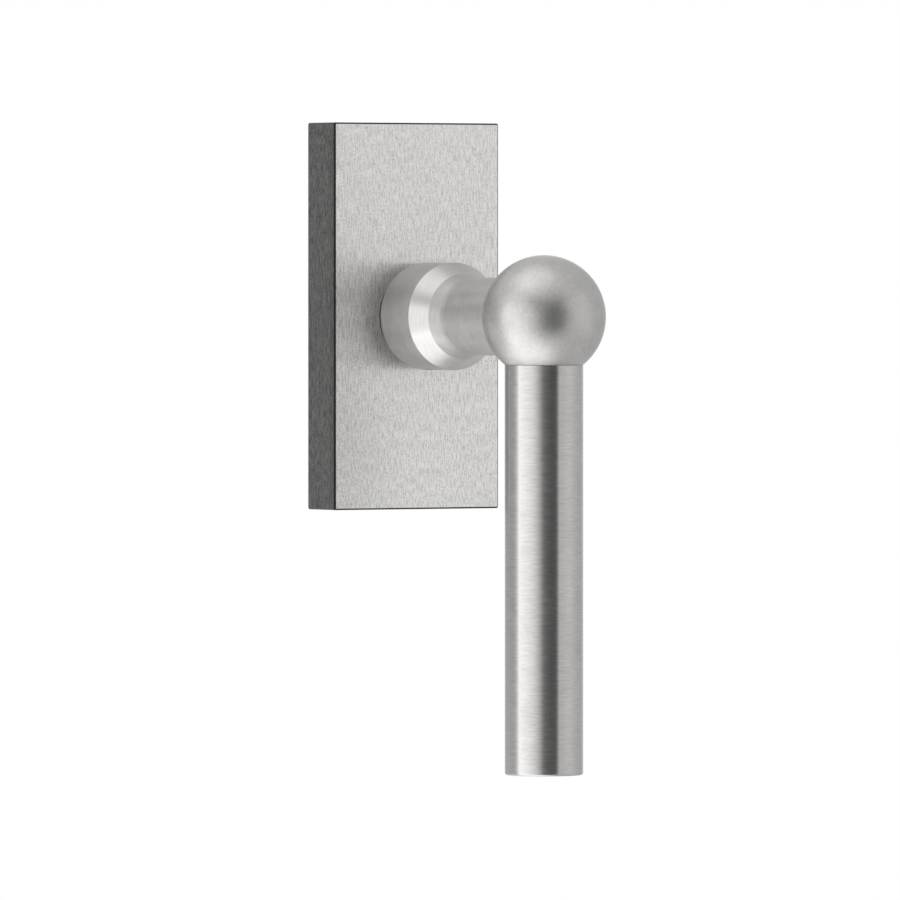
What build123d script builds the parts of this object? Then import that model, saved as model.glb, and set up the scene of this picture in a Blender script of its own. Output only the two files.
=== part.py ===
from build123d import *
import os
from math import sqrt

# Tilt-and-turn window handle: a flat rose with a turned lever of neck, ball and grip.
# The origin is where the spindle's axis meets the mounting face. +Z is up, +X is to the
# right seen from the room, and the room lies towards -Y. A "depth" is measured from the
# mounting face into the room, so Plane.XZ.offset(depth) is the plane at y = -depth.
# At rest the grip hangs straight down, which is the closed position.

# ---------------------------------------------------------------- driving dimensions (mm)

# Rose, the rectangular cover plate on the window sash
rose_width = 40.0
rose_height = 80.0
rose_depth = 10.5
rose_wall = 2.0
rose_edge_break = 0.25

# Interface to the window gear: 43 mm screw pitch, 10 mm bosses, 7 mm square spindle
screw_pitch = 43.0
boss_diameter = 10.0
boss_height = 2.5
spindle_size = 7.0
spindle_reach = 21.0
spindle_length = 50.0
spindle_corner = 0.5
spindle_point = 0.8

# Lever: collar and neck in one turned piece, then the ball and the grip
collar_gap = 3.5
collar_diameter = 22.2
collar_length = 11.0
collar_taper_length = 4.0
neck_root_diameter = 17.6
neck_root_length = 4.0
neck_diameter = 16.0
ball_diameter = 25.2
ball_depth = 59.5
grip_diameter = 16.0
grip_reach = 93.3
grip_end_break = 0.5
seam_break = 0.15

# Fits
running_fit = 0.05
thread_fit = 0.05
face_gap = 0.1
loose_gap = 0.2
pocket_gap = 0.3

# Base plate with its detent, under the rose cover
base_gap = 0.2
base_corner = 1.5
base_floor = 1.7
cavity_corner = 1.0
detent_rotor_diameter = 19.0
rotor_journal_diameter = 12.0
detent_ball_diameter = 3.0
detent_travel = 0.8
detent_count = 4
detent_spring_bore = 2.0
channel_end_wall = 1.4
retaining_plate_thickness = 1.0
retaining_plate_height = 24.0
retaining_plate_width = 35.0
rivet_diameter = 2.0
rivet_head_diameter = 3.6
rivet_head_height = 0.5
rivet_pitch_x = 27.0
rivet_pitch_z = 17.0
relief_width = 12.0
relief_height = 7.0
relief_depth = 5.0
relief_pitch_x = 18.0
relief_pitch_z = 63.0
relief_corner = 1.5

# Bearing of the lever in the rose
spigot_diameter = 14.0
spigot_lip = 0.7
bush_wall = 1.5
bush_flange_diameter = 18.4
washer_thickness = 0.5
washer_diameter = 18.8
circlip_thickness = 1.0
circlip_width = 2.0
circlip_groove_depth = 0.4
circlip_groove_slack = 0.05
circlip_gap = 7.0
circlip_lug_diameter = 3.0
circlip_lug_hole = 1.2

# M5 countersunk fixing screws
fixing_screw_length = 25.0
fixing_screw_diameter = 5.0
fixing_shank_diameter = 4.4
fixing_head_diameter = 9.3
fixing_head_edge = 0.3
fixing_hole_diameter = 5.5
fixing_sink_diameter = 10.4
fixing_point = 0.8
cross_recess_width = 1.1
cross_recess_length = 5.0
cross_recess_depth = 2.2

# Set screws: M4 in the collar, M3 in the rose
lever_screw_diameter = 4.0
lever_screw_length = 6.0
lever_screw_key = 2.0
lever_screw_depth = 16.6
cover_screw_diameter = 3.0
cover_screw_length = 5.0
cover_screw_key = 1.5
cover_screw_depth = 4.3
cover_screw_recess = 0.4
set_screw_point = 0.6
set_screw_socket_depth = 2.2

# M6 studs and the dowel that stops the ball from turning on the neck
stud_diameter = 6.0
stud_point = 0.6
neck_stud_in_neck = 10.0
neck_stud_in_ball = 5.0
grip_stud_in_ball = 6.0
grip_stud_in_grip = 10.0
stud_end_gap = 0.4
dowel_diameter = 3.0
dowel_length = 10.0
dowel_offset = 5.5
dowel_end_gap = 0.3

# ---------------------------------------------------------------- worked-out dimensions

cavity_width = rose_width - 2 * rose_wall
cavity_height = rose_height - 2 * rose_wall
cavity_depth = rose_depth - rose_wall
base_width = cavity_width - 2 * base_gap
base_height = cavity_height - 2 * base_gap
base_depth = cavity_depth - base_gap

spigot_radius = spigot_diameter / 2
bush_bore_radius = spigot_radius + running_fit
bush_radius = bush_bore_radius + bush_wall
collar_rear = rose_depth + collar_gap
collar_front = collar_rear + collar_length
taper_front = collar_front + collar_taper_length
root_front = taper_front + neck_root_length
ball_radius = ball_diameter / 2
neck_front = ball_depth - sqrt(ball_radius**2 - (neck_diameter / 2) ** 2)
grip_top = -sqrt(ball_radius**2 - (grip_diameter / 2) ** 2)

washer_rear = cavity_depth - washer_thickness
circlip_front = washer_rear - face_gap
circlip_rear = circlip_front - circlip_thickness
groove_radius = spigot_radius - circlip_groove_depth
spigot_rear = circlip_rear - spigot_lip
plate_front = spigot_rear - face_gap
plate_rear = plate_front - retaining_plate_thickness

rotor_radius = detent_rotor_diameter / 2
rotor_rear = base_floor + face_gap
rotor_front = plate_rear - face_gap
journal_radius = rotor_journal_diameter / 2
journal_rear = loose_gap
journal_front = plate_front - face_gap
pocket_radius = rotor_radius + pocket_gap
socket_size = spindle_size + 2 * running_fit
spindle_front = spindle_length - spindle_reach
socket_front = spindle_front + loose_gap

detent_ball_radius = detent_ball_diameter / 2
detent_depth = (rotor_rear + rotor_front) / 2
channel_radius = detent_ball_radius + face_gap
detent_rest = rotor_radius + detent_ball_radius + face_gap
notch_centre = detent_rest - detent_travel
notch_radius = detent_ball_radius + face_gap
channel_end = base_width / 2 - channel_end_wall
spring_radius = detent_ball_radius - face_gap
spring_bore_radius = detent_spring_bore / 2
spring_start = detent_rest + sqrt(detent_ball_radius**2 - spring_bore_radius**2) + running_fit

screw_cone_front = base_depth - (fixing_sink_diameter - fixing_head_diameter) / 2 + running_fit
screw_head_top = screw_cone_front + fixing_head_edge
screw_thread_start = -(boss_height + face_gap)
screw_tip = screw_head_top - fixing_screw_length

spindle_face = spindle_size / 2 + running_fit
stud_radius = stud_diameter / 2
ball_axis = Axis((0, -ball_depth, 0), (0, 0, 1))


# ---------------------------------------------------------------- helpers


def lathe_profile(points, plane=Plane.XY, depth_sign=-1):
    """A closed half outline from (radius, distance along the axis) points, for revolving."""
    with BuildSketch(plane) as profile:
        with BuildLine():
            Polyline(*[(radius, depth_sign * along) for radius, along in points], close=True)
        make_face()
    return profile.sketch


def rod_outline(radius, start, end, point):
    """The half outline of a plain rod with both ends chamfered."""
    return [
        (0, start),
        (radius - point, start),
        (radius, start + point),
        (radius, end - point),
        (radius - point, end),
        (0, end),
    ]


os.makedirs("parts", exist_ok=True)

# ---------------------------------------------------------------- rose

# Folded and ground stainless cover: open at the back, with the bearing hole in its face
with BuildPart() as rose_cover:
    with BuildSketch(Plane.XZ):
        Rectangle(rose_width, rose_height)
    extrude(amount=rose_depth)
    rear_edges = rose_cover.edges().group_by(Axis.Y)[-1]
    chamfer(rose_cover.edges() - rear_edges, rose_edge_break)
    with BuildSketch(Plane.XZ):
        RectangleRounded(cavity_width, cavity_height, cavity_corner)
    extrude(amount=cavity_depth, mode=Mode.SUBTRACT)
    with BuildSketch(Plane.XZ.offset(cavity_depth)):
        Circle(bush_radius + running_fit)
    extrude(amount=rose_wall, mode=Mode.SUBTRACT)
    with BuildSketch(Plane((0, -cover_screw_depth, -rose_height / 2))):
        Circle(cover_screw_diameter / 2 + thread_fit)
    extrude(amount=rose_wall + base_gap, mode=Mode.SUBTRACT)
rose_cover.part.label = "rose_cover"
export_step(rose_cover.part, "parts/rose_cover.step")

# Die-cast base plate: screw holes with locating bosses, rotor pocket, detent channels
with BuildPart() as base_plate:
    with BuildSketch(Plane.XZ):
        RectangleRounded(base_width, base_height, base_corner)
    extrude(amount=base_depth)
    with BuildSketch(Plane.XZ):
        with GridLocations(1, screw_pitch, 1, 2):
            Circle(boss_diameter / 2)
    extrude(amount=-boss_height)
    chamfer(base_plate.edges().filter_by(GeomType.CIRCLE).group_by(Axis.Y)[-1], seam_break)
    with BuildSketch(Plane.XZ):
        with GridLocations(relief_pitch_x, relief_pitch_z, 2, 2):
            RectangleRounded(relief_width, relief_height, relief_corner)
    extrude(amount=relief_depth, mode=Mode.SUBTRACT)
    with BuildSketch(Plane.XZ):
        Circle(journal_radius + running_fit)
    extrude(amount=base_floor, mode=Mode.SUBTRACT)
    with BuildSketch(Plane.XZ.offset(base_floor)):
        Circle(pocket_radius)
    extrude(amount=plate_rear - base_floor, mode=Mode.SUBTRACT)
    with BuildSketch(Plane.XZ.offset(plate_rear)):
        Rectangle(base_width + base_gap, retaining_plate_height + base_gap)
    extrude(amount=base_depth - plate_rear, mode=Mode.SUBTRACT)
    with BuildSketch(Plane.YZ.offset(-channel_end)):
        with Locations((-detent_depth, 0)):
            Circle(channel_radius)
        with Locations((-(detent_depth + plate_rear) / 2, 0)):
            Rectangle(plate_rear - detent_depth, 2 * channel_radius)
    extrude(amount=2 * channel_end, mode=Mode.SUBTRACT)
    with BuildSketch(Plane.XZ):
        with GridLocations(rivet_pitch_x, rivet_pitch_z, 2, 2):
            Circle(rivet_diameter / 2 + running_fit)
    extrude(amount=plate_rear, mode=Mode.SUBTRACT)
    with Locations(Plane.XZ.offset(base_depth)):
        with GridLocations(1, screw_pitch, 1, 2):
            CounterSinkHole(fixing_hole_diameter / 2, fixing_sink_diameter / 2, counter_sink_angle=90)
    with BuildSketch(Plane((0, -cover_screw_depth, -base_height / 2))):
        Circle(cover_screw_diameter / 2 + face_gap)
    extrude(amount=cover_screw_length - rose_wall + loose_gap, mode=Mode.SUBTRACT)
base_plate.part.label = "base_plate"
export_step(base_plate.part, "parts/base_plate.step")

# Two M5 countersunk screws through the bosses, with a rolled thread past the bosses' ends
with BuildPart() as fixing_screws:
    for screw_height in (-screw_pitch / 2, screw_pitch / 2):
        screw_axis = Axis((0, 0, screw_height), (0, 1, 0))
        head_radius = fixing_head_diameter / 2
        shank_radius = fixing_shank_diameter / 2
        screw_cone_rear = screw_cone_front - (head_radius - shank_radius)
        thread_radius = fixing_screw_diameter / 2
        outline = [
            (0, screw_head_top),
            (head_radius, screw_head_top),
            (head_radius, screw_cone_front),
            (shank_radius, screw_cone_rear),
            (shank_radius, screw_thread_start),
            (thread_radius, screw_thread_start),
            (thread_radius, screw_tip + fixing_point),
            (thread_radius - fixing_point, screw_tip),
            (0, screw_tip),
        ]
        revolve(lathe_profile(outline, Plane.XY.offset(screw_height)), axis=screw_axis)
    with BuildSketch(Plane.XZ.offset(screw_head_top)):
        with GridLocations(1, screw_pitch, 1, 2):
            Rectangle(cross_recess_width, cross_recess_length)
            Rectangle(cross_recess_length, cross_recess_width)
    extrude(amount=-cross_recess_depth, mode=Mode.SUBTRACT)
fixing_screws.part.label = "fixing_screws"
export_step(fixing_screws.part, "parts/fixing_screws.step")

# M3 set screw from below, which clamps the cover to the base plate
cover_screw_foot = -rose_height / 2 + cover_screw_recess
cover_screw_head = cover_screw_foot + cover_screw_length
with BuildPart() as cover_set_screw:
    outline = rod_outline(cover_screw_diameter / 2, cover_screw_foot, cover_screw_head, set_screw_point)
    screw_plane = Plane.XZ.offset(cover_screw_depth)
    screw_axis = Axis((0, -cover_screw_depth, 0), (0, 0, 1))
    revolve(lathe_profile(outline, screw_plane, 1), axis=screw_axis)
    with BuildSketch(Plane((0, -cover_screw_depth, cover_screw_foot))):
        RegularPolygon(cover_screw_key / 2, 6, major_radius=False)
    extrude(amount=set_screw_socket_depth, mode=Mode.SUBTRACT)
cover_set_screw.part.label = "cover_set_screw"
export_step(cover_set_screw.part, "parts/cover_set_screw.step")

# ---------------------------------------------------------------- detent

# Rotor on the spindle: one notch for each quarter turn, a journal at each end
with BuildPart() as detent_rotor:
    outline = [
        (0, journal_rear),
        (journal_radius, journal_rear),
        (journal_radius, rotor_rear),
        (rotor_radius, rotor_rear),
        (rotor_radius, rotor_front),
        (journal_radius, rotor_front),
        (journal_radius, journal_front),
        (0, journal_front),
    ]
    revolve(lathe_profile(outline), axis=Axis.Y)
    with BuildSketch(Plane.XZ.offset(rotor_rear)):
        with PolarLocations(notch_centre, detent_count):
            Circle(notch_radius)
    extrude(amount=rotor_front - rotor_rear, mode=Mode.SUBTRACT)
    with BuildSketch(Plane.XZ.offset(journal_rear)):
        Rectangle(socket_size, socket_size)
    extrude(amount=journal_front - journal_rear, mode=Mode.SUBTRACT)
detent_rotor.part.label = "detent_rotor"
export_step(detent_rotor.part, "parts/detent_rotor.step")

# A spring-loaded ball on each side of the rotor. The balls are drawn on the rotor's crest,
# one detent travel out of their notches, and slide towards the spindle from there.
for side_name, side in (("left", -1), ("right", 1)):
    with BuildPart() as detent_ball:
        with Locations((side * detent_rest, -detent_depth, 0)):
            Sphere(detent_ball_radius)
    detent_ball.part.label = "detent_ball_" + side_name
    export_step(detent_ball.part, "parts/detent_ball_" + side_name + ".step")

    # The coil spring as the closed tube that its wire fills
    with BuildPart() as detent_spring:
        with BuildSketch(Plane((side * spring_start, -detent_depth, 0), z_dir=(side, 0, 0))):
            Circle(spring_radius)
            Circle(spring_bore_radius, mode=Mode.SUBTRACT)
        extrude(amount=channel_end - spring_start)
    detent_spring.part.label = "detent_spring_" + side_name
    export_step(detent_spring.part, "parts/detent_spring_" + side_name + ".step")

# Steel plate that closes the rotor's pocket and the detent channels
with BuildPart() as rotor_retaining_plate:
    with BuildSketch(Plane.XZ.offset(plate_rear)):
        Rectangle(retaining_plate_width, retaining_plate_height)
        Circle(journal_radius + running_fit, mode=Mode.SUBTRACT)
        with GridLocations(rivet_pitch_x, rivet_pitch_z, 2, 2):
            Circle(rivet_diameter / 2 + running_fit, mode=Mode.SUBTRACT)
    extrude(amount=retaining_plate_thickness)
rotor_retaining_plate.part.label = "rotor_retaining_plate"
export_step(rotor_retaining_plate.part, "parts/rotor_retaining_plate.step")

# Four rivets through the plate and the base
with BuildPart() as retaining_plate_rivets:
    with BuildSketch(Plane.XZ):
        with GridLocations(rivet_pitch_x, rivet_pitch_z, 2, 2):
            Circle(rivet_diameter / 2)
    extrude(amount=plate_front)
    with BuildSketch(Plane.XZ.offset(plate_front)):
        with GridLocations(rivet_pitch_x, rivet_pitch_z, 2, 2):
            Circle(rivet_head_diameter / 2)
    extrude(amount=rivet_head_height)
retaining_plate_rivets.part.label = "retaining_plate_rivets"
export_step(retaining_plate_rivets.part, "parts/retaining_plate_rivets.step")

# ---------------------------------------------------------------- lever bearing

# Flanged plastic bush: its flange is the spacer ring between rose and collar
with BuildPart() as bearing_bush:
    outline = [
        (bush_bore_radius, cavity_depth),
        (bush_radius, cavity_depth),
        (bush_radius, rose_depth),
        (bush_flange_diameter / 2, rose_depth),
        (bush_flange_diameter / 2, collar_rear - face_gap),
        (bush_bore_radius, collar_rear - face_gap),
    ]
    revolve(lathe_profile(outline), axis=Axis.Y)
bearing_bush.part.label = "bearing_bush"
export_step(bearing_bush.part, "parts/bearing_bush.step")

# Slip washer between the rose's inner face and the circlip
with BuildPart() as thrust_washer:
    with BuildSketch(Plane.XZ.offset(washer_rear)):
        Circle(washer_diameter / 2)
        Circle(bush_bore_radius + running_fit, mode=Mode.SUBTRACT)
    extrude(amount=washer_thickness)
thrust_washer.part.label = "thrust_washer"
export_step(thrust_washer.part, "parts/thrust_washer.step")

# Circlip in the groove of the lever's spigot, open at the bottom between two lugs
circlip_inner = groove_radius + circlip_groove_slack
circlip_outer = circlip_inner + circlip_width
circlip_lug_x = (circlip_gap + circlip_lug_diameter) / 2
circlip_lug_z = -sqrt(circlip_outer**2 - circlip_lug_x**2)
with BuildPart() as neck_circlip:
    with BuildSketch(Plane.XZ.offset(circlip_rear)):
        Circle(circlip_outer)
        with Locations((0, -circlip_outer)):
            Rectangle(circlip_gap, 2 * circlip_outer, mode=Mode.SUBTRACT)
        with Locations((-circlip_lug_x, circlip_lug_z), (circlip_lug_x, circlip_lug_z)):
            Circle(circlip_lug_diameter / 2)
            Circle(circlip_lug_hole / 2, mode=Mode.SUBTRACT)
        Circle(circlip_inner, mode=Mode.SUBTRACT)
    extrude(amount=circlip_thickness)
neck_circlip.part.label = "neck_circlip"
export_step(neck_circlip.part, "parts/neck_circlip.step")

# ---------------------------------------------------------------- lever

# Square spindle through rotor and neck, standing out behind the rose
with BuildPart() as spindle:
    with BuildSketch(Plane.XZ.offset(-spindle_reach)):
        Rectangle(spindle_size, spindle_size)
    extrude(amount=spindle_length)
    chamfer(spindle.edges().filter_by(Axis.Y), spindle_corner)
    chamfer(spindle.faces().sort_by(Axis.Y)[-1].edges(), spindle_point)
spindle.part.label = "spindle"
export_step(spindle.part, "parts/spindle.step")

# Collar, taper and neck turned from one bar, with the spigot that runs in the bush. The neck
# narrows a little over its first few millimetres.
with BuildPart() as lever_neck:
    outline = [
        (0, spigot_rear),
        (spigot_radius - seam_break, spigot_rear),
        (spigot_radius, spigot_rear + seam_break),
        (spigot_radius, circlip_rear - circlip_groove_slack),
        (groove_radius, circlip_rear - circlip_groove_slack),
        (groove_radius, circlip_front + circlip_groove_slack),
        (spigot_radius, circlip_front + circlip_groove_slack),
        (spigot_radius, collar_rear),
        (collar_diameter / 2 - seam_break, collar_rear),
        (collar_diameter / 2, collar_rear + seam_break),
        (collar_diameter / 2, collar_front),
        (neck_root_diameter / 2, taper_front),
        (neck_diameter / 2, root_front),
        (neck_diameter / 2, neck_front),
        (0, neck_front),
    ]
    revolve(lathe_profile(outline), axis=Axis.Y)
    with BuildSketch(Plane.XZ.offset(spigot_rear)):
        Rectangle(socket_size, socket_size)
    extrude(amount=socket_front - spigot_rear, mode=Mode.SUBTRACT)
    with BuildSketch(Plane.XZ.offset(neck_front)):
        Circle(stud_radius + thread_fit)
    extrude(amount=-(neck_stud_in_neck + stud_end_gap), mode=Mode.SUBTRACT)
    with BuildSketch(Plane.XZ.offset(neck_front)):
        with Locations((0, dowel_offset)):
            Circle(dowel_diameter / 2 + running_fit)
    extrude(amount=-(dowel_length / 2 + dowel_end_gap), mode=Mode.SUBTRACT)
    with BuildSketch(Plane((0, -lever_screw_depth, -collar_diameter / 2))):
        Circle(lever_screw_diameter / 2 + thread_fit)
    extrude(amount=collar_diameter / 2, mode=Mode.SUBTRACT)
lever_neck.part.label = "lever_neck"
export_step(lever_neck.part, "parts/lever_neck.step")

# M4 set screw under the collar, which clamps the lever on the spindle
lever_screw_tip = -spindle_face
lever_screw_foot = lever_screw_tip - lever_screw_length
with BuildPart() as lever_set_screw:
    outline = rod_outline(lever_screw_diameter / 2, lever_screw_foot, lever_screw_tip, set_screw_point)
    screw_plane = Plane.XZ.offset(lever_screw_depth)
    screw_axis = Axis((0, -lever_screw_depth, 0), (0, 0, 1))
    revolve(lathe_profile(outline, screw_plane, 1), axis=screw_axis)
    with BuildSketch(Plane((0, -lever_screw_depth, lever_screw_foot))):
        RegularPolygon(lever_screw_key / 2, 6, major_radius=False)
    extrude(amount=set_screw_socket_depth, mode=Mode.SUBTRACT)
lever_set_screw.part.label = "lever_set_screw"
export_step(lever_set_screw.part, "parts/lever_set_screw.step")

# M6 stud that draws the ball onto the neck
with BuildPart() as neck_stud:
    stud_rear = neck_front - neck_stud_in_neck
    stud_front = neck_front + neck_stud_in_ball
    revolve(lathe_profile(rod_outline(stud_radius, stud_rear, stud_front, stud_point)), axis=Axis.Y)
neck_stud.part.label = "neck_stud"
export_step(neck_stud.part, "parts/neck_stud.step")

# Dowel above the stud, half in the neck and half in the ball
with BuildPart() as neck_dowel_pin:
    dowel_outline = rod_outline(
        dowel_diameter / 2, neck_front - dowel_length / 2, neck_front + dowel_length / 2, seam_break
    )
    dowel_axis = Axis((0, 0, dowel_offset), (0, 1, 0))
    revolve(lathe_profile(dowel_outline, Plane.XY.offset(dowel_offset)), axis=dowel_axis)
neck_dowel_pin.part.label = "neck_dowel_pin"
export_step(neck_dowel_pin.part, "parts/neck_dowel_pin.step")

# Solid ball with one flat for the neck and one for the grip
with BuildPart() as ball:
    with Locations((0, -ball_depth, 0)):
        Sphere(ball_radius)
    split(bisect_by=Plane.XZ.offset(neck_front), keep=Keep.TOP)
    split(bisect_by=Plane.XY.offset(grip_top), keep=Keep.TOP)
    with BuildSketch(Plane.XZ.offset(neck_front)):
        Circle(stud_radius + thread_fit)
    extrude(amount=neck_stud_in_ball + stud_end_gap, mode=Mode.SUBTRACT)
    with BuildSketch(Plane.XZ.offset(neck_front)):
        with Locations((0, dowel_offset)):
            Circle(dowel_diameter / 2 + running_fit)
    extrude(amount=dowel_length / 2 + dowel_end_gap, mode=Mode.SUBTRACT)
    with BuildSketch(Plane((0, -ball_depth, grip_top))):
        Circle(stud_radius + thread_fit)
    extrude(amount=grip_stud_in_ball + stud_end_gap, mode=Mode.SUBTRACT)
ball.part.label = "ball"
export_step(ball.part, "parts/ball.step")

# M6 stud that draws the grip onto the ball
with BuildPart() as grip_stud:
    stud_outline = rod_outline(
        stud_radius, grip_top - grip_stud_in_grip, grip_top + grip_stud_in_ball, stud_point
    )
    revolve(lathe_profile(stud_outline, Plane.XZ.offset(ball_depth), 1), axis=ball_axis)
grip_stud.part.label = "grip_stud"
export_step(grip_stud.part, "parts/grip_stud.step")

# Round bar grip
grip_radius = grip_diameter / 2
with BuildPart() as grip:
    outline = [
        (0, grip_top),
        (grip_radius - seam_break, grip_top),
        (grip_radius, grip_top - seam_break),
        (grip_radius, -grip_reach + grip_end_break),
        (grip_radius - grip_end_break, -grip_reach),
        (0, -grip_reach),
    ]
    revolve(lathe_profile(outline, Plane.XZ.offset(ball_depth), 1), axis=ball_axis)
    with BuildSketch(Plane((0, -ball_depth, grip_top))):
        Circle(stud_radius + thread_fit)
    extrude(amount=-(grip_stud_in_grip + stud_end_gap), mode=Mode.SUBTRACT)
grip.part.label = "grip"
export_step(grip.part, "parts/grip.step")
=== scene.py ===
import math

import bmesh
import bpy
from mathutils import Matrix, Vector


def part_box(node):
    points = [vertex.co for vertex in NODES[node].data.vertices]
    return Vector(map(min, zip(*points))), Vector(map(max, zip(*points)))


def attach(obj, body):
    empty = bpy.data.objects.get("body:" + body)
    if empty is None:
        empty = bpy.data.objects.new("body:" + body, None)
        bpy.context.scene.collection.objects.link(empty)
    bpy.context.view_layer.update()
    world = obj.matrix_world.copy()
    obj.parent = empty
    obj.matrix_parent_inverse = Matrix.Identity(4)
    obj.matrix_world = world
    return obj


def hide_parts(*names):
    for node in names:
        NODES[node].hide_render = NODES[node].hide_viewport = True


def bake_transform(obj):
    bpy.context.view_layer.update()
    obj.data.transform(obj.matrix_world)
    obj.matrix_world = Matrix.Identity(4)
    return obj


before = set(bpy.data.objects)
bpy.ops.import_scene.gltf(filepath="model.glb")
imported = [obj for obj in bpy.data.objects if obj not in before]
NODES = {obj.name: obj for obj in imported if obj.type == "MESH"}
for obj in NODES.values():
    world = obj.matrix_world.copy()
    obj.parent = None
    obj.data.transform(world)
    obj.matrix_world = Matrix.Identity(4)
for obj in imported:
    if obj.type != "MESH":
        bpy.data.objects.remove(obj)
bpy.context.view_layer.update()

# A tilt-and-turn window handle. Metres, in the CAD frame: the origin is on the spindle's axis at
# the mounting face, +Z is up and -Y points into the room. A "depth" is measured along -Y.
# Turned parts, the rose, screws and springs are built here at full detail. The plain castings,
# stampings and pins keep their CAD mesh and get a finish.

MM = 0.001

RIGHT, OUT = Vector((1, 0, 0)), Vector((0, -1, 0))
UP, DOWN = Vector((0, 0, 1)), Vector((0, 0, -1))

# Sizes that the CAD boxes don't give. Rose:
ROSE_WALL = 2.0 * MM
ROSE_EDGE = 0.4 * MM
CAVITY_CORNER = 1.0 * MM
BUSH_HOLE_RADIUS = 8.6 * MM
COVER_SCREW_HOLE_RADIUS = 1.55 * MM

# Lever neck
SPIGOT_RADIUS = 7.0 * MM
GROOVE_RADIUS = 6.6 * MM
GROOVE_SLACK = 0.05 * MM
COLLAR_REAR = 14.0 * MM
COLLAR_LENGTH = 11.0 * MM
TAPER_LENGTH = 4.0 * MM
ROOT_RADIUS = 8.8 * MM
ROOT_LENGTH = 4.0 * MM
ROOT_BLEND = 12.0 * MM
NECK_RADIUS = 8.0 * MM
SPINDLE_SOCKET = 7.1 * MM
SOCKET_FLOOR = 29.2 * MM
LEVER_SCREW_HOLE_RADIUS = 2.05 * MM
LEVER_SCREW_HOLE_START = 3.0 * MM

# Holes that join the neck, the ball and the grip
STUD_HOLE_RADIUS = 3.05 * MM
STUD_HOLE_DEPTH = 10.4 * MM
BALL_STUD_DEPTH = 5.4 * MM
BALL_GRIP_STUD_DEPTH = 6.4 * MM
DOWEL_HOLE_RADIUS = 1.55 * MM
DOWEL_HOLE_DEPTH = 5.3 * MM

# Edges of the turned parts
FINE_EDGE = 0.1 * MM
TURNED_EDGE = 0.2 * MM
GRIP_END_EDGE = 0.45 * MM
SEAM_EDGE = 0.15 * MM

# M5 countersunk screws. Their thread ends, and their shank starts, behind the mounting face.
SCREW_PITCH = 43.0 * MM
M5_RADIUS = 2.5 * MM
M5_TIP_RADIUS = 1.7 * MM
M5_TIP_LENGTH = 0.8 * MM
M5_THREAD_PITCH = 0.8 * MM
M5_THREAD_DEPTH = 0.43 * MM
M5_THREAD_END = -2.6 * MM
M5_SHANK_START = -2.3 * MM
M5_SHANK_RADIUS = 2.2 * MM
M5_HEAD_FILLET = 0.4 * MM
M5_HEAD_EDGE = 0.3 * MM
CROSS_LENGTH = 3.2 * MM
CROSS_WIDTH = 0.85 * MM
CROSS_DEPTH = 2.2 * MM
CROSS_FLARE = 1.45

# M6 studs
M6_RADIUS = 3.0 * MM
M6_ROOT_RADIUS = 2.4 * MM
M6_CHAMFER = 0.6 * MM
M6_THREAD_PITCH = 1.0 * MM
M6_THREAD_DEPTH = 0.54 * MM

# Set screws, rivets and springs
SET_SCREW_CHAMFER = 0.2 * MM
SET_SCREW_POINT = 0.6 * MM
KEY_DEPTH = 2.2 * MM
RIVET_RADIUS = 1.0 * MM
RIVET_HEAD_RADIUS = 1.8 * MM
SPRING_WIRE_RADIUS = 0.2 * MM
SPRING_TURNS = 7.5
SPRING_END_CROWDING = 0.085


def middle(node):
    """The centre of a CAD node's box."""
    low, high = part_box(node)
    return (low + high) / 2


BALL_CENTRE = Vector((0, middle("grip").y, 0))
BALL_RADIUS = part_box("ball")[1].z


# ------------------------------------------------------------------ node trees


class Nodes:
    """Short calls that build one node tree."""

    def __init__(self, tree):
        self.tree = tree

    def add(self, kind, inputs=None, **settings):
        """A node. Each input is a value or another node's output."""
        node = self.tree.nodes.new(kind)
        for name, value in settings.items():
            setattr(node, name, value)
        for socket, value in (inputs or {}).items():
            self.put(node, socket, value)
        return node

    def put(self, node, socket, value):
        if isinstance(value, bpy.types.NodeSocket):
            self.tree.links.new(value, node.inputs[socket])
        else:
            node.inputs[socket].default_value = value

    def math(self, operation, *values):
        return self.add("ShaderNodeMath", dict(enumerate(values)), operation=operation).outputs[0]

    def vector(self, operation, *values, output="Vector"):
        node = self.add("ShaderNodeVectorMath", dict(enumerate(values)), operation=operation)
        return node.outputs[output]

    def scale(self, vector, factor):
        inputs = {"Vector": vector, "Scale": factor}
        return self.add("ShaderNodeVectorMath", inputs, operation="SCALE").outputs["Vector"]

    def remap(self, value, low, high, to_low=0.0, to_high=1.0, smooth=False):
        inputs = {
            "Value": value, "From Min": low, "From Max": high, "To Min": to_low, "To Max": to_high,
        }
        kind = "SMOOTHSTEP" if smooth else "LINEAR"
        return self.add("ShaderNodeMapRange", inputs, interpolation_type=kind).outputs[0]

    def ramp(self, value, stops):
        """A ramp of (position, grey) stops."""
        node = self.add("ShaderNodeValToRGB", {"Fac": value})
        elements = node.color_ramp.elements
        while len(elements) < len(stops):
            elements.new(0.5)
        for element, (position, grey) in zip(elements, stops):
            element.position = position
            element.color = (grey, grey, grey, 1)
        return node.outputs["Color"]

    def noise(self, vector, scale=1.0, detail=2.0, roughness=0.5):
        inputs = {"Vector": vector, "Scale": scale, "Detail": detail, "Roughness": roughness}
        return self.add("ShaderNodeTexNoise", inputs).outputs["Fac"]

    def grain(self, first, second, share, low=0.3, high=0.7):
        """Adds two noises, the first by a share, and spreads their middle range over 0 to 1."""
        first = self.math("MULTIPLY", first, share)
        second = self.math("MULTIPLY", second, 1 - share)
        return self.remap(self.math("ADD", first, second), low, high)

    def mix(self, share, first, second):
        """Mixes two colours."""
        node = self.add("ShaderNodeMix", data_type="RGBA")
        for socket, value in ((0, share), (6, first), (7, second)):
            self.put(node, socket, value)
        return node.outputs[2]


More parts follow.
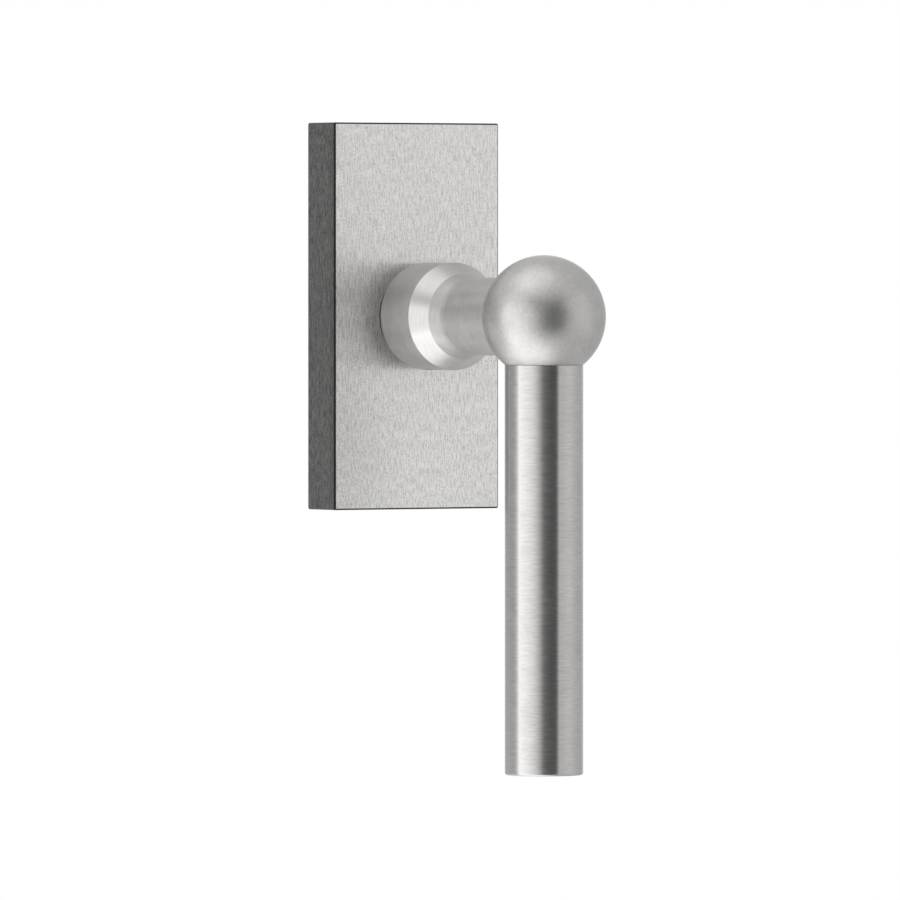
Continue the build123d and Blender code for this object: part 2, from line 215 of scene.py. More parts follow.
def new_material(name, **constants):
    """A material with fixed values on its shader, its node calls, and its object coordinates."""
    material = bpy.data.materials.new(name)
    material.use_nodes = True
    nodes = Nodes(material.node_tree)
    nodes.shader = material.node_tree.nodes["Principled BSDF"]
    for socket, value in constants.items():
        nodes.shader.inputs[socket.replace("_", " ")].default_value = value
    nodes.place = nodes.add("ShaderNodeTexCoord").outputs["Object"]
    return material, nodes


def emboss(nodes, grain, depth):
    """Gives a shader a relief that follows the grain, with a depth in mm."""
    relief = nodes.add("ShaderNodeBump", {"Height": grain, "Distance": depth * MM, "Strength": 1.0})
    nodes.put(nodes.shader, "Normal", relief.outputs["Normal"])


def shade(nodes, colour, grain, tone=0.06, roughness=(0.25, 0.35), bump=0.002):
    """Gives a shader a colour, roughness and relief that follow the grain, which runs from 0 to 1."""
    dark = tuple(c * (1 - tone) for c in colour) + (1,)
    light = tuple(c * (1 + tone) for c in colour) + (1,)
    nodes.put(nodes.shader, "Base Color", nodes.mix(grain, dark, light))
    nodes.put(nodes.shader, "Roughness", nodes.remap(grain, 0, 1, *roughness))
    emboss(nodes, grain, bump)


def stretch(nodes, x, y, z):
    """The place in the part, with the number of grains per metre along each axis."""
    return nodes.vector("MULTIPLY", nodes.place, (x, y, z))


# ------------------------------------------------------------------ finishes

STAINLESS = (0.487, 0.481, 0.474)
LIGHTER_STAINLESS = (0.515, 0.509, 0.502)


def brushed_stainless():
    """Stainless brushed along the rose's height, and across its two ends: bright on the front and back,
    duller down the sides.
    Its colour holds painted shade: the sides, top and bottom are painted far darker, and a nearly black
    painted shade line runs along the rounded edges."""
    material, nodes = new_material("brushed_stainless", Metallic=0.7, Anisotropic=0.95)
    normal = nodes.add("ShaderNodeTexCoord").outputs["Normal"]
    facing_out = nodes.math("ABSOLUTE", nodes.vector("DOT_PRODUCT", normal, OUT, output="Value"))
    facing_up = nodes.math("ABSOLUTE", nodes.vector("DOT_PRODUCT", normal, UP, output="Value"))
    along, across = 330, 3900
    turned = nodes.scale((along - across, 0, across - along), facing_up)
    per_metre = nodes.vector("ADD", (across, across, along), turned)
    strokes = nodes.noise(nodes.vector("MULTIPLY", nodes.place, per_metre), detail=1.0, roughness=0.6)
    grit = nodes.noise(stretch(nodes, 4300, 4300, 2300), detail=1.0, roughness=0.6)
    cloud = nodes.noise(nodes.place, scale=90.0, detail=2.0)
    grain = nodes.grain(strokes, grit, 0.55, low=0.38, high=0.58)

    # Painted shade: the sides, top and bottom are painted far darker than the front and back, and the
    # rounded edges between them nearly black, as a painted shade line.
    sides, painted_edge_shade, front = 0.15, 0.01, 1.0
    stops = [(0.0, sides), (0.05, sides), (0.12, painted_edge_shade), (0.95, painted_edge_shade), (0.99, front), (1.0, front)]
    warm_tint_and_painted_shade = nodes.vector("MULTIPLY", nodes.ramp(facing_out, stops), (1.0, 0.988, 0.970))
    # The grain runs deeper down the sides, which darkens them further on top of their painted shade.
    deepest = nodes.remap(facing_out, 0.0, 1.0, 0.30, 0.64)
    uneven = nodes.remap(grain, 0, 1, deepest, 1.02)
    uneven = nodes.math("MULTIPLY", uneven, nodes.remap(cloud, 0.3, 0.7, 0.97, 1.0))
    nodes.put(nodes.shader, "Base Color", nodes.scale(warm_tint_and_painted_shade, uneven))

    dull = nodes.remap(facing_out, 0.0, 1.0, 0.08, 0.0)
    nodes.put(nodes.shader, "Roughness", nodes.math("ADD", nodes.remap(grain, 0, 1, 0.29, 0.34), dull))
    emboss(nodes, grain, 0.0015)
    tangent = nodes.vector("CROSS_PRODUCT", UP, normal)
    tangent = nodes.vector("ADD", tangent, nodes.scale((0, 1, 0), facing_up))
    nodes.put(nodes.shader, "Tangent", tangent)
    return material


def turned_stainless(name, axis, centre, roughness, colour):
    """Stainless ground around an axis: fine rings, with highlights that run along the axis."""
    material, nodes = new_material(name, Metallic=1.0, Anisotropic=0.75, Anisotropic_Rotation=0.25)
    along_axis = tuple(float(axis == letter) for letter in "XYZ")
    height = nodes.vector("DOT_PRODUCT", nodes.place, along_axis, output="Value")
    from_centre = nodes.vector("SUBTRACT", nodes.place, centre)
    from_axis = nodes.vector("MULTIPLY", from_centre, [1 - a for a in along_axis])
    radius = nodes.vector("LENGTH", from_axis, output="Value")
    rings = nodes.scale(along_axis, nodes.math("MULTIPLY", nodes.math("ADD", radius, height), 3000))
    wander = nodes.vector("ADD", rings, nodes.scale(from_axis, 400))
    fine = nodes.noise(wander, detail=3.0, roughness=0.6)
    cloud = nodes.noise(nodes.place, scale=260.0, detail=3.0)
    grain = nodes.grain(fine, cloud, 0.7)
    shade(nodes, colour, grain, tone=0.12, roughness=roughness, bump=0.0006)
    tangent = nodes.add("ShaderNodeTangent", direction_type="RADIAL", axis=axis).outputs[0]
    nodes.put(nodes.shader, "Tangent", tangent)
    return material


def satin_stainless():
    """The ball's even satin finish, with faint brushing."""
    material, nodes = new_material("satin_stainless", Metallic=1.0)
    brushed = nodes.noise(stretch(nodes, 2400, 1500, 1500), detail=3.0, roughness=0.6)
    cloud = nodes.noise(nodes.place, scale=300.0, detail=3.0)
    grain = nodes.grain(brushed, cloud, 0.6)
    shade(nodes, STAINLESS, grain, tone=0.14, roughness=(0.35, 0.40), bump=0.0008)
    return material


def zinc_casting():
    """Die-cast zinc: matt grey with a fine skin and soft flow marks."""
    material, nodes = new_material("zinc_casting", Metallic=0.85)
    skin = nodes.noise(nodes.place, scale=3800.0, detail=4.0, roughness=0.7)
    flow = nodes.noise(stretch(nodes, 130, 130, 60), detail=3.0, roughness=0.55)
    grain = nodes.grain(skin, flow, 0.55)
    shade(nodes, (0.40, 0.405, 0.41), grain, tone=0.16, roughness=(0.42, 0.62), bump=0.012)
    return material


def zinc_plated():
    """Zinc plating: bright blue-grey with a faint yellow bloom and drawing marks."""
    material, nodes = new_material("zinc_plated_steel", Metallic=1.0)
    marks = nodes.noise(stretch(nodes, 2600, 300, 2600), detail=3.0, roughness=0.6)
    bloom = nodes.noise(nodes.place, scale=180.0, detail=3.0)
    grain = nodes.remap(marks, 0.3, 0.7)
    shade(nodes, (0.58, 0.60, 0.62), grain, tone=0.07, roughness=(0.22, 0.36), bump=0.002)
    tint = nodes.shader.inputs["Base Color"].links[0].from_socket
    share = nodes.remap(bloom, 0.5, 0.75, 0.0, 0.5)
    nodes.put(nodes.shader, "Base Color", nodes.mix(share, tint, (0.66, 0.62, 0.50, 1)))
    return material


def plain_metal(name, colour, roughness, tone=0.08, bump=0.001):
    """A small metal part's finish: fine scratches and a slightly uneven tone."""
    material, nodes = new_material(name, Metallic=1.0)
    scratches = nodes.noise(stretch(nodes, 2400, 400, 2400), detail=3.0, roughness=0.65)
    cloud = nodes.noise(nodes.place, scale=480.0, detail=2.0)
    shade(nodes, colour, nodes.grain(scratches, cloud, 0.6), tone=tone, roughness=roughness, bump=bump)
    return material


def moulded_plastic(name, colour, roughness, tone):
    """Moulded plastic with a finely eroded skin."""
    material, nodes = new_material(name, Metallic=0.0, IOR=1.5)
    skin = nodes.noise(nodes.place, scale=5200.0, detail=3.0, roughness=0.6)
    flow = nodes.noise(nodes.place, scale=220.0, detail=2.0)
    shade(nodes, colour, nodes.grain(skin, flow, 0.6), tone=tone, roughness=roughness, bump=0.004)
    return material


# ------------------------------------------------------------------ mesh tools

# A radius that counts as zero, a distance at which two points are one, and the sharpest edge that is
# shaded smooth
ON_AXIS = 1e-6
SAME_POINT = 1e-7
SHARPEST_SMOOTH = math.radians(35)

# How finely curves are divided
FINE_TURN = 192
SMALL_TURN = 72
SMALLEST_TURN = 64
ROUND_HOLE = 96
SMALL_HOLE = 48
ARC_STEPS = 6
BALL_STEPS = 80
DOME_STEPS = 8
ROWS_PER_PITCH = 8
COIL_STEPS = 24
WIRE_SIDES = 12


def object_from(name, points, faces, place=Matrix.Identity(4)):
    """A mesh object with outward normals, whose vertices are moved to its place."""
    mesh = bpy.data.meshes.new(name)
    mesh.from_pydata([tuple(point) for point in points], [], faces)
    work = bmesh.new()
    work.from_mesh(mesh)
    bmesh.ops.remove_doubles(work, verts=work.verts, dist=SAME_POINT)
    bmesh.ops.recalc_face_normals(work, faces=work.faces)
    work.to_mesh(mesh)
    work.free()
    mesh.transform(place)
    thing = bpy.data.objects.new(name, mesh)
    bpy.context.scene.collection.objects.link(thing)
    return thing


def facing(direction, at=(0, 0, 0)):
    """A placement that turns +Z to a direction and moves the origin to a point."""
    turn = UP.rotation_difference(Vector(direction)).to_matrix().to_4x4()
    return Matrix.Translation(at) @ turn


def rounded(corners):
    """A closed outline of (x, y, radius) corners, with an arc at each corner that has a radius."""
    outline = []
    for index, (x, y, radius) in enumerate(corners):
        here = Vector((x, y))
        if radius == 0:
            outline.append(here)
            continue
        before = (Vector(corners[index - 1][:2]) - here).normalized()
        after = (Vector(corners[(index + 1) % len(corners)][:2]) - here).normalized()
        half = before.angle(after) / 2
        centre = here + (before + after).normalized() * (radius / math.sin(half))
        start = here + before * (radius / math.tan(half)) - centre
        end = here + after * (radius / math.tan(half)) - centre
        swing = math.atan2(start.cross(end), start.dot(end))
        for step in range(ARC_STEPS + 1):
            outline.append(centre + Matrix.Rotation(swing * step / ARC_STEPS, 2) @ start)
    return outline


def lathe(name, outline, place, around, thread=None):
    """Turns an outline of (radius, height) points about +Z. A thread is (pitch, depth, start, end), cut
    into the outline between two heights."""
    rows = []
    for point, following in zip(outline, outline[1:] + outline[:1]):
        steps = 1
        if thread and abs(point[0] - following[0]) < ON_AXIS and point[0] > ON_AXIS:
            steps = max(1, round(abs(following[1] - point[1]) / (thread[0] / ROWS_PER_PITCH)))
        rows += [Vector(point).lerp(Vector(following), step / steps) for step in range(steps)]
    points = []
    for radius, height in rows:
        for step in range(around):
            angle = math.tau * step / around
            depth = 0.0
            if thread and radius > ON_AXIS:
                pitch, full, start, end = thread
                fade = min(1.0, max(0.0, min(height - start, end - height) / pitch))
                depth = full * fade * (0.5 - 0.5 * math.cos(math.tau * height / pitch - angle))
            cut = radius - depth
            points.append((cut * math.cos(angle), cut * math.sin(angle), height))
    faces = []
    for row in range(len(rows) - 1):
        low, high = row * around, (row + 1) * around
        for step in range(around):
            after = (step + 1) % around
            faces.append([low + step, low + after, high + after, high + step])
    return object_from(name, points, faces, place)


def prism(name, outline, start, end, place, top_scale=1.0):
    """A straight or tapered prism of an outline in XY, from height start to height end."""
    count = len(outline)
    points = [(x, y, start) for x, y in outline]
    points += [(x * top_scale, y * top_scale, end) for x, y in outline]
    faces = [list(range(count))[::-1], list(range(count, 2 * count))]
    faces += [[i, (i + 1) % count, count + (i + 1) % count, count + i] for i in range(count)]
    return object_from(name, points, faces, place)


def regular(radius, sides):
    """The corners of a regular polygon."""
    angles = [math.tau * side / sides for side in range(sides)]
    return [(radius * math.cos(angle), radius * math.sin(angle)) for angle in angles]


def rectangle(width, height, corner=0.0):
    """The outline of a rectangle about the origin."""
    w, h = width / 2, height / 2
    return [tuple(p) for p in rounded([(-w, -h, corner), (w, -h, corner), (w, h, corner), (-w, h, corner)])]


def bore(radius, start, end, place, sides=ROUND_HOLE):
    """A cutter for a round hole."""
    return prism("bore", regular(radius, sides), start, end, place)


def carve(thing, *cutters):
    """Cuts the other objects out of a piece and removes them."""
    for cutter in cutters:
        cut = thing.modifiers.new("cut", "BOOLEAN")
        cut.operation = "DIFFERENCE"
        cut.solver = "EXACT"
        cut.object = cutter
    seen = thing.evaluated_get(bpy.context.evaluated_depsgraph_get())
    cut_mesh = bpy.data.meshes.new_from_object(seen)
    thing.modifiers.clear()
    thing.data = cut_mesh
    for cutter in cutters:
        bpy.data.objects.remove(cutter)
    return thing


def join(name, things):
    """One object from several."""
    work = bmesh.new()
    for thing in things:
        work.from_mesh(thing.data)
    mesh = bpy.data.meshes.new(name)
    work.to_mesh(mesh)
    work.free()
    for thing in things:
        bpy.data.objects.remove(thing)
    joined = bpy.data.objects.new(name, mesh)
    bpy.context.scene.collection.objects.link(joined)
    return joined


def finish_piece(thing, node, material, body=None):
    """Smooths a piece, gives it its finish, and puts it in place of a CAD node on that node's body."""
    thing.data.materials.clear()
    thing.data.materials.append(material)
    for polygon in thing.data.polygons:
        polygon.use_smooth = True
    thing.data.set_sharp_from_angle(angle=SHARPEST_SMOOTH)
    if body:
        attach(thing, body)
    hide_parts(node)


# ------------------------------------------------------------------ pieces


def rounded_block(name, width, height, depth, edge, place):
    """A block with rounded sides and front, and a sharp rear edge."""
    sections = [(0.0, 0.0)]
    for step in range(ARC_STEPS + 1):
        angle = math.pi / 2 * step / ARC_STEPS
        sections.append((edge * (1 - math.cos(angle)), depth - edge * (1 - math.sin(angle))))
    smallest_corner = edge * 0.01
    points, faces = [], []
    for inset, level in sections:
        corner = max(edge - inset, smallest_corner)
        points += [(x, y, level) for x, y in rectangle(width - 2 * inset, height - 2 * inset, corner)]
    count = len(points) // len(sections)
    for row in range(len(sections) - 1):
        for step in range(count):
            low, after = row * count + step, row * count + (step + 1) % count
            faces.append([low, after, after + count, low + count])
    faces.append(list(range(count))[::-1])
    faces.append(list(range(len(points) - count, len(points))))
    return object_from(name, points, faces, place)


def rose_cover(material):
    """The brushed shell, with its cavity and the holes for the bush and the set screw."""
    low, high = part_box("rose_cover")
    width, height, depth = high.x - low.x, high.z - low.z, -low.y
    cover = rounded_block("rose_shell", width, height, depth, ROSE_EDGE, facing(OUT))
    inside = rectangle(width - 2 * ROSE_WALL, height - 2 * ROSE_WALL, CAVITY_CORNER)
    from_below = facing(DOWN, OUT * -middle("cover_set_screw").y)
    carve(
        cover,
        prism("cavity", inside, -MM, depth - ROSE_WALL, facing(OUT)),
        bore(BUSH_HOLE_RADIUS, depth - ROSE_WALL - MM, depth + MM, facing(OUT)),
        bore(COVER_SCREW_HOLE_RADIUS, height / 2 - ROSE_WALL - MM, height / 2 + MM, from_below),
    )
    finish_piece(cover, "rose_cover", material, "rose")


def lever_neck(material):
    """The spigot with its circlip groove, the collar, the taper and the neck, in one turned piece."""
    low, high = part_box("lever_neck")
    rear, front, collar = -high.y, -low.y, high.x
    clip_low, clip_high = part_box("neck_circlip")
    groove_rear, groove_front = -clip_high.y - GROOVE_SLACK, -clip_low.y + GROOVE_SLACK
    shoulder = COLLAR_REAR + COLLAR_LENGTH
    root = shoulder + TAPER_LENGTH
    outline = rounded([
        (0, rear, 0), (SPIGOT_RADIUS, rear, TURNED_EDGE),
        (SPIGOT_RADIUS, groove_rear, 0), (GROOVE_RADIUS, groove_rear, 0),
        (GROOVE_RADIUS, groove_front, 0), (SPIGOT_RADIUS, groove_front, 0),
        (SPIGOT_RADIUS, COLLAR_REAR, FINE_EDGE), (collar, COLLAR_REAR, TURNED_EDGE),
        (collar, shoulder, TURNED_EDGE), (ROOT_RADIUS, root, TURNED_EDGE),
        (NECK_RADIUS, root + ROOT_LENGTH, ROOT_BLEND), (NECK_RADIUS, front, 0), (0, front, 0),
    ])
    neck = lathe("turned_neck", outline, facing(OUT), FINE_TURN)
    at_dowel = facing(OUT, UP * middle("neck_dowel_pin").z)
    at_screw = facing(DOWN, OUT * -middle("lever_set_screw").y)
    carve(
        neck,
        prism("socket", rectangle(SPINDLE_SOCKET, SPINDLE_SOCKET), 0, SOCKET_FLOOR, facing(OUT)),
        bore(STUD_HOLE_RADIUS, front - STUD_HOLE_DEPTH, front + MM, facing(OUT)),
        bore(DOWEL_HOLE_RADIUS, front - DOWEL_HOLE_DEPTH, front + MM, at_dowel, SMALL_HOLE),
        bore(LEVER_SCREW_HOLE_RADIUS, LEVER_SCREW_HOLE_START, collar + MM, at_screw, SMALLEST_TURN),
    )
    finish_piece(neck, "lever_neck", material, "lever")


def ball(material):
    """The ball, with a flat where the neck meets it, a flat for the grip, and the holes that join them."""
    low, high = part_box("ball")
    seam, neck_face = -low.z, -high.y
    start = math.asin(NECK_RADIUS / BALL_RADIUS)
    arc = [start + (math.pi - start) * step / BALL_STEPS for step in range(BALL_STEPS)]
    outline = [(0, -BALL_RADIUS * math.cos(start))]
    outline += [(BALL_RADIUS * math.sin(a), -BALL_RADIUS * math.cos(a)) for a in arc]
    outline.append((0, BALL_RADIUS))
    sphere = lathe("ground_ball", outline, facing(OUT, BALL_CENTRE), FINE_TURN)
    below = facing(DOWN, BALL_CENTRE)
    at_dowel = facing(OUT, UP * middle("neck_dowel_pin").z)
    wide = 2 * BALL_RADIUS
    carve(
        sphere,
        prism("flat", rectangle(wide, wide), seam, wide, below),
        bore(STUD_HOLE_RADIUS, neck_face - MM, neck_face + BALL_STUD_DEPTH, facing(OUT)),
        bore(DOWEL_HOLE_RADIUS, neck_face - MM, neck_face + DOWEL_HOLE_DEPTH, at_dowel, SMALL_HOLE),
        bore(STUD_HOLE_RADIUS, seam - BALL_GRIP_STUD_DEPTH, seam + MM, below),
    )
    finish_piece(sphere, "ball", material, "lever")


def grip(material):
    """The round bar, with the stud's hole in its top."""
    low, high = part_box("grip")
    radius = (high.x - low.x) / 2
    place = Matrix.Translation(BALL_CENTRE)
    outline = rounded([
        (0, low.z, 0), (radius, low.z, GRIP_END_EDGE), (radius, high.z, SEAM_EDGE), (0, high.z, 0),
    ])
    bar = lathe("turned_grip", outline, place, FINE_TURN)
    carve(bar, bore(STUD_HOLE_RADIUS, high.z - STUD_HOLE_DEPTH, high.z + MM, place))
    finish_piece(bar, "grip", material, "lever")


def fixing_screws(material):
    """Countersunk M5 screws with a cross recess."""
    low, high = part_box("fixing_screws")
    head, top, tip = (high.x - low.x) / 2, -low.y, -high.y
    rim = top - M5_HEAD_EDGE
    outline = rounded([
        (0, tip, 0), (M5_TIP_RADIUS, tip, 0), (M5_RADIUS, tip + M5_TIP_LENGTH, 0),
        (M5_RADIUS, M5_THREAD_END, 0), (M5_SHANK_RADIUS, M5_SHANK_START, 0),
        (M5_SHANK_RADIUS, rim - (head - M5_SHANK_RADIUS), M5_HEAD_FILLET),
        (head, rim, 0), (head, top, FINE_EDGE), (0, top, 0),
    ])
    thread = (M5_THREAD_PITCH, M5_THREAD_DEPTH, tip, M5_THREAD_END)
    slots = [rectangle(CROSS_LENGTH, CROSS_WIDTH), rectangle(CROSS_WIDTH, CROSS_LENGTH)]
    bottom, mouth = top - CROSS_DEPTH, top + 0.1 * MM
    screws = []
    for side in (-1, 1):
        place = facing(OUT, UP * side * SCREW_PITCH / 2)
        screw = lathe("screw", outline, place, SMALL_TURN, thread)
        cross = [prism("recess", slot, bottom, mouth, place, CROSS_FLARE) for slot in slots]
        screws.append(carve(screw, *cross))
    finish_piece(join("machine_screws", screws), "fixing_screws", material, "rose")


def set_screw(name, node, pitch, key, body, material):
    """A hexagon-socket set screw that is driven from below."""
    low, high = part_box(node)
    radius = (high.x - low.x) / 2
    place = Matrix.Translation((0, middle(node).y, 0))
    chamfer, point = SET_SCREW_CHAMFER, SET_SCREW_POINT
    outline = [
        (0, low.z), (radius - chamfer, low.z), (radius, low.z + chamfer),
        (radius, high.z - point), (radius - point, high.z), (0, high.z),
    ]
    thread = (pitch, 0.5 * pitch, low.z, high.z - 0.5 * MM)
    screw = lathe(name, outline, place, SMALL_TURN, thread)
    hexagon = regular(key / math.sqrt(3), 6)
    carve(screw, prism("key", hexagon, low.z - 0.1 * MM, low.z + KEY_DEPTH, place))
    finish_piece(screw, node, material, body)


def stud(name, node, direction, material):
    """An M6 stud, threaded from end to end."""
    low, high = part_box(node)
    length = max(high.z - low.z, high.y - low.y)
    end = length / 2
    outline = [
        (0, -end), (M6_ROOT_RADIUS, -end), (M6_RADIUS, M6_CHAMFER - end),
        (M6_RADIUS, end - M6_CHAMFER), (M6_ROOT_RADIUS, end), (0, end),
    ]
    thread = (M6_THREAD_PITCH, M6_THREAD_DEPTH, -end, end)
    piece = lathe(name, outline, facing(direction, middle(node)), SMALL_TURN, thread)
    finish_piece(piece, node, material, "lever")


def rivets(material):
    """Four rivets with domed heads."""
    low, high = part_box("retaining_plate_rivets")
    rear, front = -high.y, -low.y
    plate = -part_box("rotor_retaining_plate")[0].y
    head = RIVET_HEAD_RADIUS
    dome = [math.pi / 2 * step / DOME_STEPS for step in range(DOME_STEPS)]
    outline = [(0, rear), (RIVET_RADIUS, rear), (RIVET_RADIUS, plate)]
    outline += [(head * math.cos(a), plate + (front - plate) * math.sin(a)) for a in dome]
    outline.append((0, front))
    made = []
    for x in (low.x + head, high.x - head):
        for z in (low.z + head, high.z - head):
            made.append(lathe("rivet", outline, facing(OUT, (x, 0, z)), SMALLEST_TURN))
    joined = join("domed_rivets", made)
    finish_piece(joined, "retaining_plate_rivets", material, "rose")


def detent_spring(side, node, body, material):
    """A helical spring between the slot's end and the ball, with its coils closer at both ends."""
    low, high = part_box(node)
    wire = SPRING_WIRE_RADIUS
    coil_radius = (high.z - low.z) / 2 - wire
    inner, outer = sorted((abs(low.x), abs(high.x)))
    centre = middle(node)
    count = round(SPRING_TURNS * COIL_STEPS)
    points, faces = [], []
    for step in range(count + 1):
        share = step / count
        spread = share - SPRING_END_CROWDING * math.sin(math.tau * share)
        angle = math.tau * step / COIL_STEPS
        radial = Vector((0, math.cos(angle), math.sin(angle)))
        x = inner + wire + (outer - inner - 2 * wire) * spread
        at = Vector((side * x, centre.y, centre.z)) + radial * coil_radius
        for turn in range(WIRE_SIDES):
            lean = math.tau * turn / WIRE_SIDES
            points.append(at + radial * wire * math.cos(lean) + RIGHT * wire * math.sin(lean))
    for step in range(count):
        near, far = step * WIRE_SIDES, (step + 1) * WIRE_SIDES
        for turn in range(WIRE_SIDES):
            after = (turn + 1) % WIRE_SIDES
            faces.append([near + turn, near + after, far + after, far + turn])
    last = count * WIRE_SIDES
    faces += [list(range(WIRE_SIDES)), list(range(last, last + WIRE_SIDES))]
    spring = object_from("coil_" + body, points, faces)
    finish_piece(spring, node, material)
    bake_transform(spring)


def give_finish(material, *nodes):
    """Puts a finish on CAD nodes that keep their own mesh."""
    for node in nodes:
        NODES[node].data.materials.clear()
        NODES[node].data.materials.append(material)


# ------------------------------------------------------------------ studio

CAMERA_TURN = math.radians(-32)
CAMERA_DISTANCE = 2.5
CAMERA_TARGET = Vector((14.6 * MM, 0, -28.0 * MM))
CAMERA_HEIGHT = 11.3 * MM
CAMERA_LENS, CAMERA_SENSOR = 479.6, 36
TO_CAMERA = Vector((math.sin(CAMERA_TURN), -math.cos(CAMERA_TURN), 0))
TO_RIGHT = Vector((math.cos(CAMERA_TURN), math.sin(CAMERA_TURN), 0))

# The studio's brightness round the horizon, as (degrees to the right of the camera as the handle
# sees it, brightness)
STUDIO_RING = [
    (-180, 1.00), (-168, 0.90), (-152, 0.48), (-136, 0.42), (-111, 0.50), (-102, 0.60), (-93, 0.79),
    (-86, 1.09), (-80, 2.07), (-74, 1.93), (-63, 1.79), (-50, 1.63), (-37, 1.44), (-25, 1.17),
    (-16, 0.90), (-9, 0.60), (-3, 0.32), (5, 0.20), (20, 0.12), (36, 0.12), (40, 0.23), (44, 0.87),
    (60, 0.89), (74, 0.98), (89, 0.93), (107, 0.79), (135, 0.66), (160, 0.70), (175, 0.95), (180, 1.00),
]
BRIGHTEST = 2.3

# Brightness above and below the ring, and how it changes to the right and towards the camera. The
# ring gives way to it between two heights, and tilts up to the right.
CAP, CAP_TO_RIGHT, CAP_TO_CAMERA = 0.85, -0.115, 0.06
RING_EDGE_NEAR, RING_EDGE_FAR = 0.38, 0.64
RING_TILT, RING_DROP = -0.16, 0.02

# Soft patches: the lamp overhead, the lit table, its glow at the rear left, and a dark flag above the
# camera. Each is a direction (right, up, to the camera), the cosine of its edge, and its brightness.
STUDIO_PATCHES = [
    ((-0.30, 0.93, 0.20), 0.78, 0.68),
    ((-0.35, -0.90, 0.27), 0.70, 1.20),
    ((-0.62, -0.58, -0.53), 0.70, 0.46),
    ((-0.25, 0.44, 0.86), 0.942, -0.50),
]

FLOOR_DROP = 0.078
FLOOR_RADIUS = 0.42
FLOOR_FADE_START, FLOOR_FADE_END = 0.24, 0.41


def studio():
    """A white room: a long lamp on the left, a dark gap just right of the camera, a lamp overhead with a
    dark flag before it, and a lit table below. The camera itself sees plain white."""
    world = bpy.data.worlds.new("studio")
    world.use_nodes = True
    bpy.context.scene.world = world
    nodes = Nodes(world.node_tree)
    sky = nodes.add("ShaderNodeTexCoord").outputs["Generated"]
    to_front = nodes.vector("DOT_PRODUCT", sky, TO_CAMERA, output="Value")
    to_right = nodes.vector("DOT_PRODUCT", sky, TO_RIGHT, output="Value")
    height = nodes.vector("DOT_PRODUCT", sky, UP, output="Value")
    around = nodes.math("ARCTAN2", to_right, to_front)
    stops = [((angle + 180) / 360, brightness / BRIGHTEST) for angle, brightness in STUDIO_RING]
    ring = nodes.scale(nodes.ramp(nodes.remap(around, -math.pi, math.pi), stops), BRIGHTEST)
    cap = nodes.math("MULTIPLY_ADD", to_right, CAP_TO_RIGHT, CAP)
    cap = nodes.math("MULTIPLY_ADD", to_front, CAP_TO_CAMERA, cap)
    level = nodes.math("ADD", height, nodes.math("MULTIPLY_ADD", to_right, RING_TILT, RING_DROP))
    level = nodes.math("ABSOLUTE", level)
    away = nodes.remap(level, RING_EDGE_NEAR, RING_EDGE_FAR, smooth=True)
    light = nodes.mix(away, ring, cap)
    for (right, up, front), edge, brightness in STUDIO_PATCHES:
        toward = (TO_RIGHT * right + UP * up + TO_CAMERA * front).normalized()
        share = nodes.vector("DOT_PRODUCT", sky, toward, output="Value")
        patch = nodes.remap(share, edge, 1.0, 0, brightness, smooth=True)
        light = nodes.vector("ADD", light, patch)
    seen = nodes.add("ShaderNodeLightPath").outputs["Is Camera Ray"]
    background = world.node_tree.nodes["Background"]
    nodes.put(background, "Color", nodes.mix(seen, light, (1, 1, 1, 1)))


def floor():
    """A pale round floor, below the camera's view, that fades out at its rim."""
    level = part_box("grip")[0].z - FLOOR_DROP
    sides = 96
    rings = regular(FLOOR_RADIUS / 2, sides) + regular(FLOOR_RADIUS, sides)
    points = [(x, y, level) for x, y in rings]
    faces = [list(range(sides))]
    faces += [[i, (i + 1) % sides, sides + (i + 1) % sides, sides + i] for i in range(sides)]
    disc = object_from("floor", points, faces)
    material, nodes = new_material("pale_floor", Metallic=0.0)
    mottle = nodes.remap(nodes.noise(nodes.place, scale=60.0, detail=3.0), 0.3, 0.7)
    shade(nodes, (0.80, 0.80, 0.79), mottle, tone=0.015, roughness=(0.55, 0.65), bump=0.02)
    from_centre = nodes.vector("LENGTH", nodes.place, output="Value")
    rim = nodes.remap(from_centre, FLOOR_FADE_START, FLOOR_FADE_END, 1, 0, smooth=True)
    nodes.put(nodes.shader, "Alpha", rim)
    disc.data.materials.append(material)
    disc.visible_glossy = False


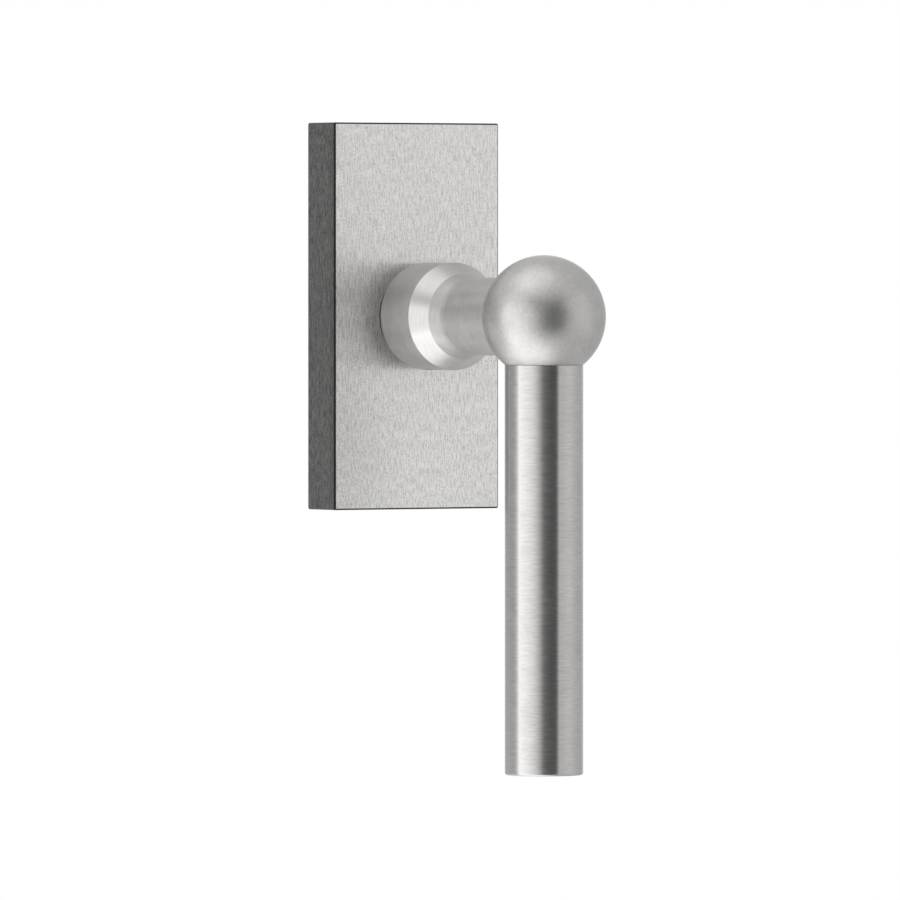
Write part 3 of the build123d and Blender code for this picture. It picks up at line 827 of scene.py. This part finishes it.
def camera():
    """A long lens, 32 degrees to the left of the rose's front."""
    eye = CAMERA_TARGET + TO_CAMERA * CAMERA_DISTANCE
    eye.z = CAMERA_HEIGHT
    data = bpy.data.cameras.new("camera")
    data.lens, data.sensor_width = CAMERA_LENS, CAMERA_SENSOR
    data.clip_start, data.clip_end = 0.05, 20
    thing = bpy.data.objects.new("camera", data)
    bpy.context.scene.collection.objects.link(thing)
    thing.location = eye
    thing.rotation_euler = (CAMERA_TARGET - eye).to_track_quat("-Z", "Y").to_euler()
    bpy.context.scene.camera = thing


camera()
studio()
floor()
bpy.context.scene.view_settings.view_transform = "Standard"

plated = zinc_plated()
screw_steel = plain_metal("stainless_screw", (0.50, 0.50, 0.49), (0.25, 0.38))
phosphated = plain_metal("spring_steel", (0.10, 0.10, 0.105), (0.34, 0.48))
hardened = plain_metal("bearing_steel", (0.72, 0.72, 0.73), (0.08, 0.16), tone=0.04, bump=0.0004)
nylon = moulded_plastic("black_nylon", (0.030, 0.030, 0.032), (0.45, 0.60), tone=0.25)
acetal = moulded_plastic("white_acetal", (0.78, 0.77, 0.74), (0.35, 0.48), tone=0.03)

rose_cover(brushed_stainless())
lever_neck(turned_stainless("turned_stainless_neck", "Y", (0, 0, 0), (0.27, 0.34), LIGHTER_STAINLESS))
ball(satin_stainless())
grip(turned_stainless("turned_stainless_grip", "Z", tuple(BALL_CENTRE), (0.20, 0.27), STAINLESS))
fixing_screws(plated)
set_screw("collar_set_screw", "lever_set_screw", 0.7 * MM, 2.0 * MM, "lever", screw_steel)
set_screw("rose_set_screw", "cover_set_screw", 0.5 * MM, 1.5 * MM, "rose", screw_steel)
stud("threaded_neck_stud", "neck_stud", OUT, plated)
stud("threaded_grip_stud", "grip_stud", UP, plated)
rivets(plated)
detent_spring(-1, "detent_spring_left", "left_detent", phosphated)
detent_spring(1, "detent_spring_right", "right_detent", phosphated)

give_finish(zinc_casting(), "base_plate", "detent_rotor")
give_finish(plated, "rotor_retaining_plate", "spindle")
give_finish(phosphated, "neck_circlip")
give_finish(hardened, "detent_ball_left", "detent_ball_right", "neck_dowel_pin")
give_finish(nylon, "bearing_bush")
give_finish(acetal, "thrust_washer")
